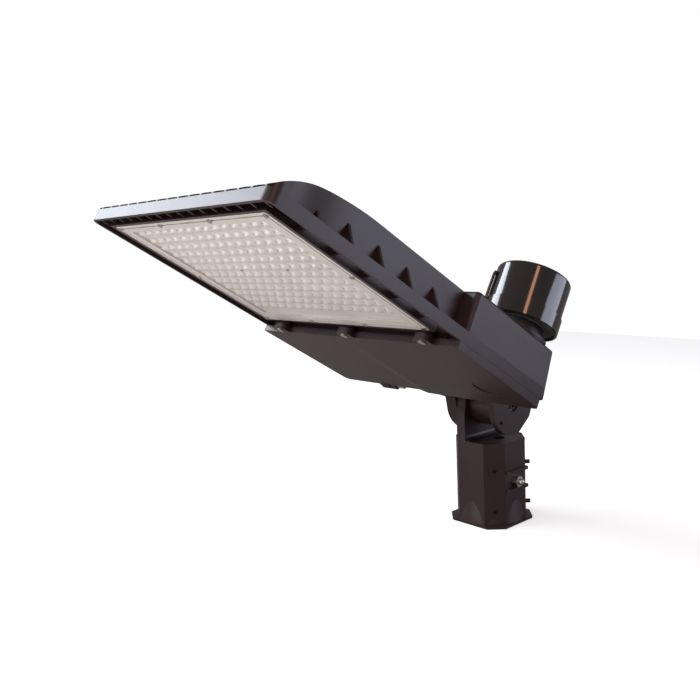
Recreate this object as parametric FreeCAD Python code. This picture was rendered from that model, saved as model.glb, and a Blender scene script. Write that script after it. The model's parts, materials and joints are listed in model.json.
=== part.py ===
import FreeCAD, Part
import math
import os

from FreeCAD import Vector

# Shoebox area light on a slip fitter. Millimetres.
# World: X to the right side, Y to the rear, Z up, origin at the centre of the fitter's mouth.
# The head is drawn level: X across, Y from the nose to the rear, Z up from the rim's lower edge.
# It is then tilted about the pivot and lifted to the pivot's height.

# ---- clearances ----
RUN_FIT = 0.08
HOLE_FIT = 0.15
FACE_GAP = 0.3
SEAT_GAP = 0.2
BITE = 1.0

# ---- fitter ----
TENON_BORE = 31.0
TUBE_CROWN = 14.1
TUBE_HALF = 38.5
TUBE_FLAT = 20.1
FLANGE_OUT = 4.8
FLANGE_FLAT_OUT = 6.8
FLANGE_THICK = 3.0
FLARE_OUT = 4.1
FLARE_TOP = 29.5
FITTER_RIB_OFFSETS = (-9.0, 13.5)
FITTER_RIB_HALF = 18.5
FITTER_RIB_THICK = 4.0
FITTER_RIB_OUT = 5.5
WIRE_HOLE = 8.0
EAR_LEFT = -20.7
EAR_THICK = 13.0
EAR_RADIUS = 36.5
EAR_STRAP_DROP = 12.3
EAR_FILLET = 6.0
BARREL_RIGHT = 29.0
BARREL_RADIUS = 28.0
LOCK_BOLT_HEIGHT = 54.0
LOCK_BOLT_RADIUS = 4.0
LOCK_BOLT_DOME = 3.6
LOCK_NUT_FLATS = 13.0
LOCK_NUT_THICK = 6.5
LOCK_BOLT_END = 6.0
SET_SCREW_RADIUS = 2.6
SET_SCREW_HEIGHTS = (18.8, 70.0)
SET_SCREW_ANGLE = 45.0
SET_SCREW_SUNK = -1.6
SET_SCREW_PROUD = 7.5
SET_SCREW_SOCKET = 1.5
SOCKET_DEPTH = 2.5

# ---- pivot and arm ----
TILT = 31.4
PIVOT_HEIGHT = 148.3
PIVOT_BACK = 103.7
PIVOT_RISE = 21.5
CHEEK_RADIUS = 37.4
CHEEK_ROOM = 6.8
CHEEK_RIGHT_THICK = 7.7
CHEEK_LEFT_THICK = 16.2
CHEEK_CHORD = 35.0
CHORD_ANGLE = -22.0
WEB_CLEAR = 52.0
PIVOT_BOLT_RADIUS = 4.0
PIVOT_HEAD_RADIUS = 5.6
PIVOT_HEAD_THICK = 3.6
PIVOT_RECESS_RADIUS = 8.4
PIVOT_RECESS_DEPTH = 5.0
PIVOT_NUT_FLATS = 13.0
PIVOT_NUT_THICK = 6.5
NUT_RECESS_DEPTH = 9.0
WASHER_THICK = 0.8
LOCK_HOLE_RADIUS = 2.3
LOCK_HOLE_OFFSET = 30.0
LOCK_HOLE_ANGLE = 248.0
BRACKET_PLATE = 8.0
BRACKET_HALF = 44.0
BRACKET_LOW = 3.0
BRACKET_BELOW_TOP = 6.0
BRACKET_CORNER = 3.0
BRACKET_GASKET = 1.5
ARM_BELOW_PLATE = 3.0
ARM_UNDER_FRONT = -1.0
ARM_UNDER_REAR = 8.0
ARM_UNDER_RUN = 38.0
ARM_TANGENT = 40.0
ARM_FLOOR = 11.0
ARM_ROOF = 10.0
ARM_WALL = 3.0
BRACKET_BOLT_X = 35.0
BRACKET_BOLT_EDGE = 9.0
BRACKET_BOLT_RADIUS = 3.0
BRACKET_BOLT_HEAD = 5.0

# ---- head: rim, hood and fins ----
HEAD_LENGTH = 389.0
HEAD_WIDTH = 298.4
RIM_THICK = 3.2
RIM_HEIGHT = 11.8
NOSE_HEIGHT = 12.4
RIM_CORNER = 9.0
BOX_STEP = 2.3
HOOD_RISE_LENGTH = 115.0
CROWN_NOSE = (0.07, 0.48)
CROWN_TOP = (0.5, 0.99)
WALL_INSET = 18.2
WALL_THICK = 3.0
FLARE_START = 16.0
FLARE_END = 110.0
FLARE_EASE_FRONT = 0.3
FLARE_EASE_REAR = 0.42
FLARE_TUCK = 2.0
GRILLE_DEPTH = 13.0
SLAB_TOP = 19.0
SHOULDER_LOW = 12.0
FIN_COUNT = 16
FIN_THICK = 2.2
FIN_EDGE = 11.7
FIN_LOW = 2.0
GUSSET_COUNT = 5
GUSSET_THICK = 3.0
GUSSET_FIRST = 50.5
GUSSET_LAST_BACK = 41.5
GUSSET_LOW = 5.0
GUSSET_APEX_DROP = 16.5
GUSSET_ROOT = 5.0

# ---- head: driver box ----
BOX_LENGTH = 143.0
BOX_FRONT_HEIGHT = 52.8
BOX_TOP_RISE = 2.2
BOX_TOP_INSET_FRONT = 1.0
BOX_TOP_INSET_REAR = 5.5
BOX_WALL = 3.5
BOX_FILLET = 3.5
BOX_FRONT_CORNER = 5.0
BOX_LIP = 9.0
BOX_LIP_HEIGHT = 4.0
GROOVE_DEPTH = 6.0
GROOVE_EDGE = 2.0

# ---- lens and board ----
LENS_SIDE_INSET = 23.0
LENS_FRONT = 16.5
LENS_BACK = 22.0
LENS_LOW = 0.3
LENS_THICK = 3.0
LENS_GROOVE_IN = 3.6
LENS_GROOVE_WIDTH = 1.6
LENS_GROOVE_DEPTH = 1.2
LENS_FIT = 0.5
FIELD_MARGIN = 16.0
FIELD_FRONT_MARGIN = 11.5
FIELD_BACK_MARGIN = 15.5
FIELD_DEPTH = 2.4
FIELD_SKIN = 2.0
FIELD_CORNER = 2.0
TONGUE_HALF = 54.0
TONGUE_REACH = 4.5
BLANK_STRIP = 12.0
LENSLET_SIZE = 12.6
GASKET_THICK = 1.3
BOARD_MARGIN = 8.6
BOARD_EDGE = 2.0
CAVITY_TOP = 14.0
BOARD_THICK = 1.6
CHIP_PITCH_ACROSS = 14.8
CHIP_PITCH = 14.0
CHIP_SIZE = 3.0
CHIP_HEIGHT = 1.2
LENS_SCREW_RADIUS = 1.5
LENS_SCREW_HEAD = 2.6
LENS_SCREW_PROUD = 1.2
LENS_SCREW_LENGTH = 10.0

# ---- driver cover and its hinge ----
COVER_AHEAD = 6.0
COVER_LIP = 7.3
COVER_DEEP = 10.0
COVER_RAMP_LEFT = -20.0
COVER_RAMP_RIGHT = -5.0
COVER_FLOOR = 2.8
COVER_WALL = 3.5
COVER_CORNER = 8.0
COVER_FRONT_CORNER = 3.0
COVER_SCREW_INSET = 39.2
COVER_SCREW_AHEAD = 5.0
COVER_BOSS_RADIUS = 6.5
COVER_BOSS_SPREAD = 3.5
COVER_SCREW_RADIUS = 2.0
COVER_SCREW_HEAD = 4.0
COVER_SCREW_HEAD_THICK = 1.2
COVER_SCREW_REACH = 4.0
SCREW_HOLE_DEPTH = 12.0
RETAINER_THICK = 0.9
KNOCKOUT_RADIUS = 16.5
KNOCKOUT_DEPTH = 0.9
KNOCKOUT_INSET = 37.2
KNOCKOUT_BACK = 44.0
HINGE_BACK = 6.0
HINGE_DROP = 5.5
HINGE_RADIUS = 4.0
HINGE_PIN_RADIUS = 2.0
HINGE_INSET = 63.2
COVER_KNUCKLE = 14.0
HOUSING_KNUCKLE = 9.5
PIN_END = 12.0

# ---- receptacle and cap ----
CAP_BACK = 27.0
CAP_INSET = 39.2
PAD_RADIUS = 33.0
PAD_RISE = 0.4
PAD_EDGE_BACK = 1.2
SEAL_THICK = 1.4
SOCKET_FLANGE = 2.6
SOCKET_NECK = 27.0
SOCKET_HEIGHT = 15.6
SOCKET_BODY = 21.5
SOCKET_SUNK = 23.4
SOCKET_SCREW_RADIUS = 1.5
SOCKET_SCREW_HEAD = 2.7
SOCKET_SCREW_CIRCLE = 30.0
SOCKET_SCREW_ANGLES = (36.0, 216.0)
CAP_OVERLAP = 0.5
CAP_SKIRT_HEIGHT = 16.5
CAP_SKIRT_RADIUS = 41.5
CAP_RADIUS = 40.1
CAP_HEIGHT = 57.5
CAP_ROUND = 3.2
CAP_WALL = 2.2
FOAM_THICK = 1.3
FOAM_INNER = 19.0
BASE_THICK = 4.0
BLADE_FIRST = 90.0
BLADE_STEP = 120.0
BLADE_INNER = 13.0
BLADE_THICK = 1.5
BLADE_SPAN = 36.0
BLADE_DEPTH = 10.0
TWIST_RANGE = 20.0
SLOT_FIT = 0.5
SLOT_SPAN_FIT = 8.0
CLIP_ANGLE = 231.5
CLIP_STAND_OFF = 1.5
CLIP_THICK = 1.5
CLIP_WIDTH = 9.0
CLIP_RAISED = 3.5
CLIP_BELOW_TOP = 11.0

# ---- parts in the driver box ----
HEADROOM = 9.8
DRIVER_WIDTH = 60.0
DRIVER_THICK = 31.0
DRIVER_LEFT_GAP = 22.0
DRIVER_AHEAD = 38.0
DRIVER_BESIDE_LEADS = 12.2
TAB_LENGTH = 8.0
TAB_THICK = 2.0
POST_RADIUS = 4.0
TRAY_SCREW_RADIUS = 1.7
TRAY_SCREW_HEAD = 3.2
TRAY_HEAD_THICK = 1.8
TRAY_SCREW_LENGTH = 8.0
SURGE_LENGTH = 44.0
SURGE_WIDTH = 26.0
SURGE_THICK = 23.0
SURGE_FROM_SIDE = 83.2
SURGE_AHEAD = 12.0
BLOCK_LENGTH = 58.0
BLOCK_WIDTH = 18.0
BLOCK_THICK = 17.0
BLOCK_FROM_LEADS = 95.0
BLOCK_AHEAD = 12.0
BLOCK_WAYS = 5
LEAD_BESIDE_SURGE = 11.0
LEAD_HOLE = 4.5
LEAD_BELOW_BOARD = 2.0
LEAD_RADIUS = 1.1
LEAD_SPACING = 2.6
GROMMET_INNER = 3.2
GROMMET_FLANGE = 6.6
GROMMET_FLANGE_THICK = 1.8

# ---- sizes that follow: fitter and arm ----
TUBE_TOP = PIVOT_HEIGHT - CHEEK_RADIUS - CHEEK_ROOM
BORE_DEPTH = TUBE_TOP - TUBE_CROWN
CHAMFER_OUT = (TUBE_HALF + TUBE_FLAT) / math.sqrt(2)
EAR_RIGHT = EAR_LEFT + EAR_THICK
CHEEK_RIGHT_IN = BARREL_RIGHT + FACE_GAP
CHEEK_RIGHT_OUT = CHEEK_RIGHT_IN + CHEEK_RIGHT_THICK
CHEEK_LEFT_IN = EAR_LEFT - FACE_GAP
CHEEK_LEFT_OUT = CHEEK_LEFT_IN - CHEEK_LEFT_THICK

# ---- sizes that follow: head ----
HALF = HEAD_WIDTH / 2
WALL_HALF = HALF - WALL_INSET
BOX_FRONT = HEAD_LENGTH - BOX_LENGTH
BOX_REAR_HEIGHT = BOX_FRONT_HEIGHT + BOX_TOP_RISE
HOOD_HEIGHT = BOX_FRONT_HEIGHT - BOX_STEP
GUSSET_APEX = HOOD_HEIGHT - GUSSET_APEX_DROP
PIVOT_Y = HEAD_LENGTH + PIVOT_BACK
PLATE_FRONT = HEAD_LENGTH + BRACKET_GASKET
PLATE_REAR = PLATE_FRONT + BRACKET_PLATE
BRACKET_HIGH = BOX_REAR_HEIGHT - BRACKET_BELOW_TOP
BRACKET_BOLT_HEIGHTS = (BRACKET_LOW + BRACKET_BOLT_EDGE, BRACKET_HIGH - BRACKET_BOLT_EDGE)
ARM_TOP = BRACKET_HIGH - ARM_BELOW_PLATE
ARM_CHANNEL = (CHEEK_LEFT_IN + ARM_WALL, CHEEK_RIGHT_IN - ARM_WALL)

# ---- sizes that follow: optics ----
LENS_HALF = HALF - LENS_SIDE_INSET
LENS_REAR = BOX_FRONT - LENS_BACK
LENS_TOP = LENS_LOW + LENS_THICK
SEAT_TOP = LENS_TOP + GASKET_THICK
FIELD_HALF = LENS_HALF - FIELD_MARGIN
FIELD_FRONT = LENS_FRONT + FIELD_FRONT_MARGIN
FIELD_REAR = LENS_REAR - FIELD_BACK_MARGIN
FIELD_LEVEL = LENS_LOW + FIELD_DEPTH
CAVITY_HALF = LENS_HALF - BOARD_MARGIN
CAVITY_FRONT = LENS_FRONT + BOARD_MARGIN
CAVITY_REAR = LENS_REAR - BOARD_MARGIN
BOARD_LOW = CAVITY_TOP - BOARD_THICK
CHIP_COLUMNS = 1 + int((2 * FIELD_HALF - LENSLET_SIZE) / CHIP_PITCH_ACROSS)
CHIP_ROWS = 1 + int((FIELD_REAR - BLANK_STRIP - FIELD_FRONT - LENSLET_SIZE) / CHIP_PITCH)
CHIP_FIRST = FIELD_FRONT + CHIP_PITCH / 2
CHIP_LAST = CHIP_FIRST + (CHIP_ROWS - 1) * CHIP_PITCH

# ---- sizes that follow: cover, cap and box contents ----
COVER_FRONT = BOX_FRONT - COVER_AHEAD
COVER_SCREW_Y = COVER_FRONT - COVER_SCREW_AHEAD
COVER_SCREWS = (-HALF + COVER_SCREW_INSET, 0.0, HALF - COVER_SCREW_INSET)
COVER_INSIDE = -COVER_LIP + COVER_FLOOR
RETAINER_LOW = -FACE_GAP - RETAINER_THICK - SEAT_GAP / 2
HINGE_Y = HEAD_LENGTH + HINGE_BACK
HINGE_OUTER = HALF - HINGE_INSET
CAP_X = HALF - CAP_INSET
CAP_Y = HEAD_LENGTH - CAP_BACK
PAD_EDGE = CAP_BACK - PAD_EDGE_BACK - BOX_FILLET
PAD_TOP = BOX_REAR_HEIGHT + PAD_RISE
FLANGE_LOW = PAD_TOP + SEAL_THICK
FLANGE_TOP = FLANGE_LOW + SOCKET_FLANGE
SOCKET_LOW = PAD_TOP - SOCKET_SUNK
SOCKET_TOP = PAD_TOP + SOCKET_HEIGHT
SLOT_LOW = SOCKET_TOP - BLADE_DEPTH - SLOT_FIT
CAP_LOW = SOCKET_TOP - CAP_OVERLAP
CAP_SEAM = CAP_LOW + CAP_SKIRT_HEIGHT
CAP_TOP = CAP_LOW + CAP_HEIGHT
BASE_LOW = SOCKET_TOP + FOAM_THICK + SEAT_GAP
LINK_LOW = BASE_LOW + BASE_THICK + BITE
BLADE_ANGLES = tuple(BLADE_FIRST + k * BLADE_STEP for k in range(3))
CLIP_INNER = CAP_RADIUS + CLIP_STAND_OFF
CLIP_LOW = CAP_LOW + CLIP_RAISED
CLIP_TOP = CAP_TOP - CLIP_BELOW_TOP
SURGE_X = HALF - SURGE_FROM_SIDE
LEAD_X = SURGE_X - LEAD_BESIDE_SURGE
LEAD_HEIGHT = CAVITY_TOP - LEAD_BELOW_BOARD
BLOCK_X = LEAD_X - BLOCK_FROM_LEADS
DRIVER_X = -HALF + DRIVER_LEFT_GAP
DRIVER_RIGHT = LEAD_X - DRIVER_BESIDE_LEADS
DRIVER_LENGTH = DRIVER_RIGHT - DRIVER_X
DRIVER_FRONT = BOX_FRONT + DRIVER_AHEAD
DRIVER_HIGH = BOX_FRONT_HEIGHT - HEADROOM
DRIVER_LOW = DRIVER_HIGH - DRIVER_THICK


# ---- small helpers ----
def box(x0, x1, y0, y1, z0, z1):
    return Part.makeBox(x1 - x0, y1 - y0, z1 - z0, Vector(x0, y0, z0))


def rod(radius, start, axis, length):
    return Part.makeCylinder(radius, length, Vector(*start), Vector(*axis))


def cross_rod(radius, x0, x1, y, z):
    """Round bar lying across, from x0 to x1."""
    return rod(radius, (x0, y, z), (1, 0, 0), x1 - x0)


def upright_rod(radius, x, y, z0, z1):
    return rod(radius, (x, y, z0), (0, 0, 1), z1 - z0)


def prism(points, sweep):
    corners = [Vector(*p) for p in points]
    wire = Part.makePolygon(corners + [corners[0]])
    return Part.Face(wire).extrude(Vector(*sweep))


def union(shapes):
    shapes = list(shapes)
    return shapes[0].fuse(shapes[1:]).removeSplitter() if len(shapes) > 1 else shapes[0]


def hex_prism(flats, start, axis, length):
    radius = flats / math.sqrt(3)
    turns = [(k + 0.5) * math.pi / 3 for k in range(6)]
    corners = [(radius * math.cos(a), radius * math.sin(a), 0) for a in turns]
    nut = prism(corners, (0, 0, length))
    turn = FreeCAD.Rotation(Vector(0, 0, 1), Vector(*axis))
    nut.Placement = FreeCAD.Placement(Vector(*start), turn)
    return nut


def headed_screw(x, y, head_radius, head_low, head_thick, radius, top):
    """Upright screw whose head points down; the shank starts inside the head."""
    head = upright_rod(head_radius, x, y, head_low, head_low + head_thick)
    shank = upright_rod(radius, x, y, head_low + head_thick / 2, top)
    return union([head, shank])


def sector(inner, outer, middle, span, z0, z1):
    ring = Part.makeCylinder(outer, z1 - z0, Vector(0, 0, z0), Vector(0, 0, 1), span)
    ring = ring.cut(upright_rod(inner, 0, 0, z0 - BITE, z1 + BITE))
    ring.rotate(Vector(0, 0, 0), Vector(0, 0, 1), middle - span / 2)
    return ring


def rounded_plan(half, y0, y1, radius, z0, z1):
    block = box(-half, half, y0, y1, z0, z1)
    return block.makeFillet(radius, [e for e in block.Edges if e.BoundBox.ZLength > (z1 - z0) / 2])


def at_cap(shape):
    shape.translate(Vector(CAP_X, CAP_Y, 0))
    return shape


def tilted(shape):
    moved = shape.copy()
    moved.translate(Vector(0, -PIVOT_Y, -PIVOT_RISE))
    moved.rotate(Vector(0, 0, 0), Vector(1, 0, 0), -TILT)
    moved.translate(Vector(0, 0, PIVOT_HEIGHT))
    return moved


# ---- fitter ----
def octagon(half, flat, z0, height):
    plan = [(half, flat), (flat, half), (-flat, half), (-half, flat)]
    plan += [(-x, -y) for x, y in plan]
    return prism([(x, y, z0) for x, y in plan], (0, 0, height))


def set_screw_places():
    for height in SET_SCREW_HEIGHTS:
        yield -SET_SCREW_ANGLE, height, SET_SCREW_SUNK
        yield SET_SCREW_ANGLE, height, SET_SCREW_PROUD


def ear():
    low = TUBE_TOP - BITE
    strap = [(-TUBE_HALF, low), (-TUBE_HALF, PIVOT_HEIGHT - EAR_STRAP_DROP), (-EAR_RADIUS, PIVOT_HEIGHT),
             (EAR_RADIUS, PIVOT_HEIGHT), (EAR_RADIUS, low)]
    plate = prism([(EAR_LEFT, y, z) for y, z in strap], (EAR_THICK, 0, 0))
    disc = cross_rod(EAR_RADIUS, EAR_LEFT, EAR_RIGHT, 0, PIVOT_HEIGHT)
    top = TUBE_TOP + EAR_FILLET
    foot = box(EAR_RIGHT - BITE, EAR_RIGHT + EAR_FILLET, -EAR_RADIUS, EAR_RADIUS, low, top)
    cove = rod(EAR_FILLET, (EAR_RIGHT + EAR_FILLET, -TUBE_HALF, top), (0, 1, 0), 2 * TUBE_HALF)
    return union([plate, disc, foot.cut(cove)])


def fitter_rib(offset):
    middle = LOCK_BOLT_HEIGHT + offset
    reach = TUBE_HALF + FITTER_RIB_OUT
    half = FITTER_RIB_THICK / 2
    return box(TUBE_HALF - BITE, reach, -FITTER_RIB_HALF, FITTER_RIB_HALF, middle - half, middle + half)


def slip_fitter():
    tube = octagon(TUBE_HALF, TUBE_FLAT, 0, TUBE_TOP)
    flange = octagon(TUBE_HALF + FLANGE_OUT, TUBE_FLAT + FLANGE_FLAT_OUT, 0, FLANGE_THICK)
    flare = Part.makeCone(TUBE_HALF + FLARE_OUT, TUBE_HALF, FLARE_TOP - FLANGE_THICK, Vector(0, 0, FLANGE_THICK))
    barrel = cross_rod(BARREL_RADIUS, EAR_RIGHT - BITE, BARREL_RIGHT, 0, PIVOT_HEIGHT)
    body = union([tube, flange, flare, ear(), barrel] + [fitter_rib(offset) for offset in FITTER_RIB_OFFSETS])
    wire_x = (EAR_RIGHT + EAR_FILLET + BARREL_RIGHT) / 2
    cuts = [upright_rod(TENON_BORE, 0, 0, -BITE, BORE_DEPTH)]
    cuts.append(upright_rod(WIRE_HOLE, wire_x, 0, 0, TUBE_TOP + BITE))
    cuts.append(cross_rod(PIVOT_BOLT_RADIUS + RUN_FIT, EAR_LEFT - BITE, BARREL_RIGHT + BITE, 0, PIVOT_HEIGHT))
    cuts.append(cross_rod(LOCK_BOLT_RADIUS + HOLE_FIT, 0, TUBE_HALF + BITE, 0, LOCK_BOLT_HEIGHT))
    for angle, height, proud in set_screw_places():
        axis = (math.cos(math.radians(angle)), math.sin(math.radians(angle)), 0)
        cuts.append(rod(SET_SCREW_RADIUS + HOLE_FIT, (0, 0, height), axis, CHAMFER_OUT + BITE))
    return body.cut(cuts)


def tenon_lock_bolt():
    end = TUBE_HALF + LOCK_NUT_THICK + LOCK_BOLT_END
    bolt = cross_rod(LOCK_BOLT_RADIUS, TENON_BORE + SEAT_GAP, end, 0, LOCK_BOLT_HEIGHT)
    return bolt.makeFillet(LOCK_BOLT_DOME, [e for e in bolt.Edges if e.BoundBox.XMin > end - BITE])


def tenon_lock_nut():
    nut = hex_prism(LOCK_NUT_FLATS, (TUBE_HALF, 0, LOCK_BOLT_HEIGHT), (1, 0, 0), LOCK_NUT_THICK)
    return nut.cut(cross_rod(LOCK_BOLT_RADIUS + HOLE_FIT, 0, 2 * TUBE_HALF, 0, LOCK_BOLT_HEIGHT))


def set_screws():
    screws = []
    for angle, height, proud in set_screw_places():
        end = CHAMFER_OUT + proud
        screw = cross_rod(SET_SCREW_RADIUS, TENON_BORE + SEAT_GAP, end, 0, height)
        key = hex_prism(2 * SET_SCREW_SOCKET, (end - SOCKET_DEPTH, 0, height), (1, 0, 0), SOCKET_DEPTH + BITE)
        screw = screw.cut(key)
        screw.rotate(Vector(0, 0, 0), Vector(0, 0, 1), angle)
        screws.append(screw)
    return Part.makeCompound(screws)


# ---- pivot ----
def pivot_bolt():
    head_low = CHEEK_RIGHT_OUT - PIVOT_RECESS_DEPTH + WASHER_THICK + SEAT_GAP
    tail = CHEEK_LEFT_OUT + NUT_RECESS_DEPTH - WASHER_THICK - PIVOT_NUT_THICK - SEAT_GAP
    shank = cross_rod(PIVOT_BOLT_RADIUS, tail, head_low + BITE, 0, PIVOT_HEIGHT)
    head = cross_rod(PIVOT_HEAD_RADIUS, head_low, head_low + PIVOT_HEAD_THICK, 0, PIVOT_HEIGHT)
    key = hex_prism(PIVOT_HEAD_RADIUS, (head_low + BITE, 0, PIVOT_HEIGHT), (1, 0, 0), PIVOT_HEAD_THICK)
    return union([shank, head]).cut(key)


def pivot_nut():
    top = CHEEK_LEFT_OUT + NUT_RECESS_DEPTH - WASHER_THICK - SEAT_GAP
    nut = hex_prism(PIVOT_NUT_FLATS, (top - PIVOT_NUT_THICK, 0, PIVOT_HEIGHT), (1, 0, 0), PIVOT_NUT_THICK)
    return nut.cut(cross_rod(PIVOT_BOLT_RADIUS + HOLE_FIT, CHEEK_LEFT_OUT, top, 0, PIVOT_HEIGHT))


def pivot_washers():
    right = CHEEK_RIGHT_OUT - PIVOT_RECESS_DEPTH + SEAT_GAP
    left = CHEEK_LEFT_OUT + NUT_RECESS_DEPTH - WASHER_THICK - SEAT_GAP
    rings = []
    for x in (right, left):
        disc = cross_rod(PIVOT_RECESS_RADIUS - RUN_FIT - HOLE_FIT, x, x + WASHER_THICK, 0, PIVOT_HEIGHT)
        hole = cross_rod(PIVOT_BOLT_RADIUS + HOLE_FIT, x - BITE, x + WASHER_THICK + BITE, 0, PIVOT_HEIGHT)
        rings.append(disc.cut(hole))
    return Part.makeCompound(rings)


# ---- arm bracket ----
def bracket_bolt_places():
    for x in (-BRACKET_BOLT_X, BRACKET_BOLT_X):
        for z in BRACKET_BOLT_HEIGHTS:
            yield x, z


def bracket_bolt_holes(y0, y1):
    radius = BRACKET_BOLT_RADIUS + HOLE_FIT
    return [rod(radius, (x, y0, z), (0, 1, 0), y1 - y0) for x, z in bracket_bolt_places()]


def arm_channel(y0, y1):
    return box(*ARM_CHANNEL, y0, y1, ARM_FLOOR, ARM_TOP - ARM_ROOF)


def arm_profile(x0, x1):
    root = PLATE_REAR - BITE
    turn = math.radians(ARM_TANGENT)
    tangent = (PIVOT_Y - CHEEK_RADIUS * math.cos(turn), PIVOT_RISE - CHEEK_RADIUS * math.sin(turn))
    side = [(root, ARM_UNDER_FRONT), (root, ARM_TOP), (PIVOT_Y, PIVOT_RISE + CHEEK_RADIUS),
            (PIVOT_Y, PIVOT_RISE), tangent, (PIVOT_Y - ARM_UNDER_RUN, ARM_UNDER_REAR)]
    return prism([(x0, y, z) for y, z in side], (x1 - x0, 0, 0))


def right_cheek():
    disc = cross_rod(CHEEK_RADIUS, CHEEK_RIGHT_IN, CHEEK_RIGHT_OUT, PIVOT_Y, PIVOT_RISE)
    beyond = box(CHEEK_RIGHT_IN - BITE, CHEEK_RIGHT_OUT + BITE, PIVOT_Y + CHEEK_CHORD, PIVOT_Y + 2 * CHEEK_RADIUS,
                 PIVOT_RISE - CHEEK_RADIUS, PIVOT_RISE + CHEEK_RADIUS)
    beyond.rotate(Vector(0, PIVOT_Y, PIVOT_RISE), Vector(1, 0, 0), CHORD_ANGLE)
    return disc.cut(beyond)


def lock_hole():
    angle = math.radians(LOCK_HOLE_ANGLE)
    y = PIVOT_Y + LOCK_HOLE_OFFSET * math.cos(angle)
    z = PIVOT_RISE + LOCK_HOLE_OFFSET * math.sin(angle)
    return cross_rod(LOCK_HOLE_RADIUS, CHEEK_RIGHT_IN - BITE, CHEEK_RIGHT_OUT + BITE, y, z)


def mount_bracket():
    plate = box(-BRACKET_HALF, BRACKET_HALF, PLATE_FRONT, PLATE_REAR, BRACKET_LOW, BRACKET_HIGH)
    plate = plate.makeFillet(BRACKET_CORNER, [e for e in plate.Edges if e.BoundBox.YLength > BITE])
    arm = arm_profile(CHEEK_LEFT_OUT, CHEEK_RIGHT_OUT)
    arm = arm.cut(cross_rod(WEB_CLEAR, CHEEK_LEFT_IN, CHEEK_RIGHT_IN, PIVOT_Y, PIVOT_RISE))
    left_disc = cross_rod(CHEEK_RADIUS, CHEEK_LEFT_OUT, CHEEK_LEFT_IN, PIVOT_Y, PIVOT_RISE)
    body = union([plate, arm, left_disc, right_cheek()])
    left = CHEEK_LEFT_OUT - BITE
    right = CHEEK_RIGHT_OUT + BITE
    cuts = [arm_channel(PLATE_FRONT - BITE, PIVOT_Y - CHEEK_RADIUS), lock_hole()]
    cuts.append(cross_rod(PIVOT_BOLT_RADIUS + RUN_FIT, left, right, PIVOT_Y, PIVOT_RISE))
    cuts.append(cross_rod(PIVOT_RECESS_RADIUS, CHEEK_RIGHT_OUT - PIVOT_RECESS_DEPTH, right, PIVOT_Y, PIVOT_RISE))
    cuts.append(cross_rod(PIVOT_RECESS_RADIUS, left, CHEEK_LEFT_OUT + NUT_RECESS_DEPTH, PIVOT_Y, PIVOT_RISE))
    return body.cut(cuts + bracket_bolt_holes(0, PLATE_REAR + BITE))


def bracket_gasket():
    sheet = box(-BRACKET_HALF, BRACKET_HALF, HEAD_LENGTH, PLATE_FRONT, BRACKET_LOW, BRACKET_HIGH)
    return sheet.cut([arm_channel(0, PIVOT_Y)] + bracket_bolt_holes(0, PIVOT_Y))


def bracket_bolts():
    inner = HEAD_LENGTH - BOX_WALL
    bolts = []
    for x, z in bracket_bolt_places():
        shank = rod(BRACKET_BOLT_RADIUS, (x, inner - BITE, z), (0, 1, 0), PLATE_REAR - inner)
        head = rod(BRACKET_BOLT_HEAD, (x, inner - BRACKET_BOLT_RADIUS, z), (0, 1, 0), BRACKET_BOLT_RADIUS)
        bolts.append(union([shank, head]))
    return Part.makeCompound(bolts)


# ---- housing: hood ----
def hood_plan(inset, front, z0, z1):
    """Plan of the hood, from its flared nose to the driver box, drawn smaller by the inset."""
    wall = WALL_HALF - inset
    flare = HALF - inset
    rear = BOX_FRONT + BITE
    run = FLARE_END - FLARE_START
    poles = [(wall, FLARE_END), (wall, FLARE_START + FLARE_EASE_REAR * run),
             (flare - FLARE_TUCK, FLARE_START + FLARE_EASE_FRONT * run), (flare, FLARE_START)]
    edges = [Part.makeLine(Vector(-flare, front, z0), Vector(flare, front, z0)),
             Part.makeLine(Vector(-wall, rear, z0), Vector(wall, rear, z0))]
    for side in (1, -1):
        curve = Part.BezierCurve()
        curve.setPoles([Vector(side * x, y, z0) for x, y in poles])
        edges.append(curve.toShape())
        edges.append(Part.makeLine(Vector(side * wall, rear, z0), Vector(side * wall, FLARE_END, z0)))
        edges.append(Part.makeLine(Vector(side * flare, FLARE_START, z0), Vector(side * flare, front, z0)))
    wire = Part.Wire(Part.__sortEdges__(edges))
    return Part.Face(wire).extrude(Vector(0, 0, z1 - z0))


def hood_profile():
    """Side view of the hood, curved up from the nose, as wide as the head."""
    rise = HOOD_RISE_LENGTH
    rear = BOX_FRONT + BITE
    poles = [(0, NOSE_HEIGHT), (CROWN_NOSE[0] * rise, CROWN_NOSE[1] * HOOD_HEIGHT),
             (CROWN_TOP[0] * rise, CROWN_TOP[1] * HOOD_HEIGHT), (rise, HOOD_HEIGHT)]
    crown = Part.BezierCurve()
    crown.setPoles([Vector(-HALF, y, z) for y, z in poles])
    corners = [(rise, HOOD_HEIGHT), (rear, HOOD_HEIGHT), (rear, -BITE), (0, -BITE), (0, NOSE_HEIGHT)]
    points = [Vector(-HALF, y, z) for y, z in corners]
    edges = [crown.toShape()] + [Part.makeLine(a, b) for a, b in zip(points, points[1:])]
    return Part.Face(Part.Wire(edges)).extrude(Vector(HEAD_WIDTH, 0, 0))


def fins():
    """Cooling fins on the slab, each running on through the open grille to the nose."""
    pitch = 2 * (HALF - FIN_EDGE) / (FIN_COUNT - 1)
    top = HOOD_HEIGHT + BITE
    plates = []
    for k in range(FIN_COUNT):
        x0 = (k - (FIN_COUNT - 1) / 2) * pitch - FIN_THICK / 2
        x1 = x0 + FIN_THICK
        plates.append(box(x0, x1, RIM_THICK / 2, GRILLE_DEPTH + BITE, FIN_LOW, top))
        plates.append(box(x0, x1, GRILLE_DEPTH, BOX_FRONT + BITE, SLAB_TOP - BITE, top))
    inside = hood_plan(WALL_THICK / 2, -BITE, 0, top + BITE)
    return Part.makeCompound(plates).common(inside).Solids


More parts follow.
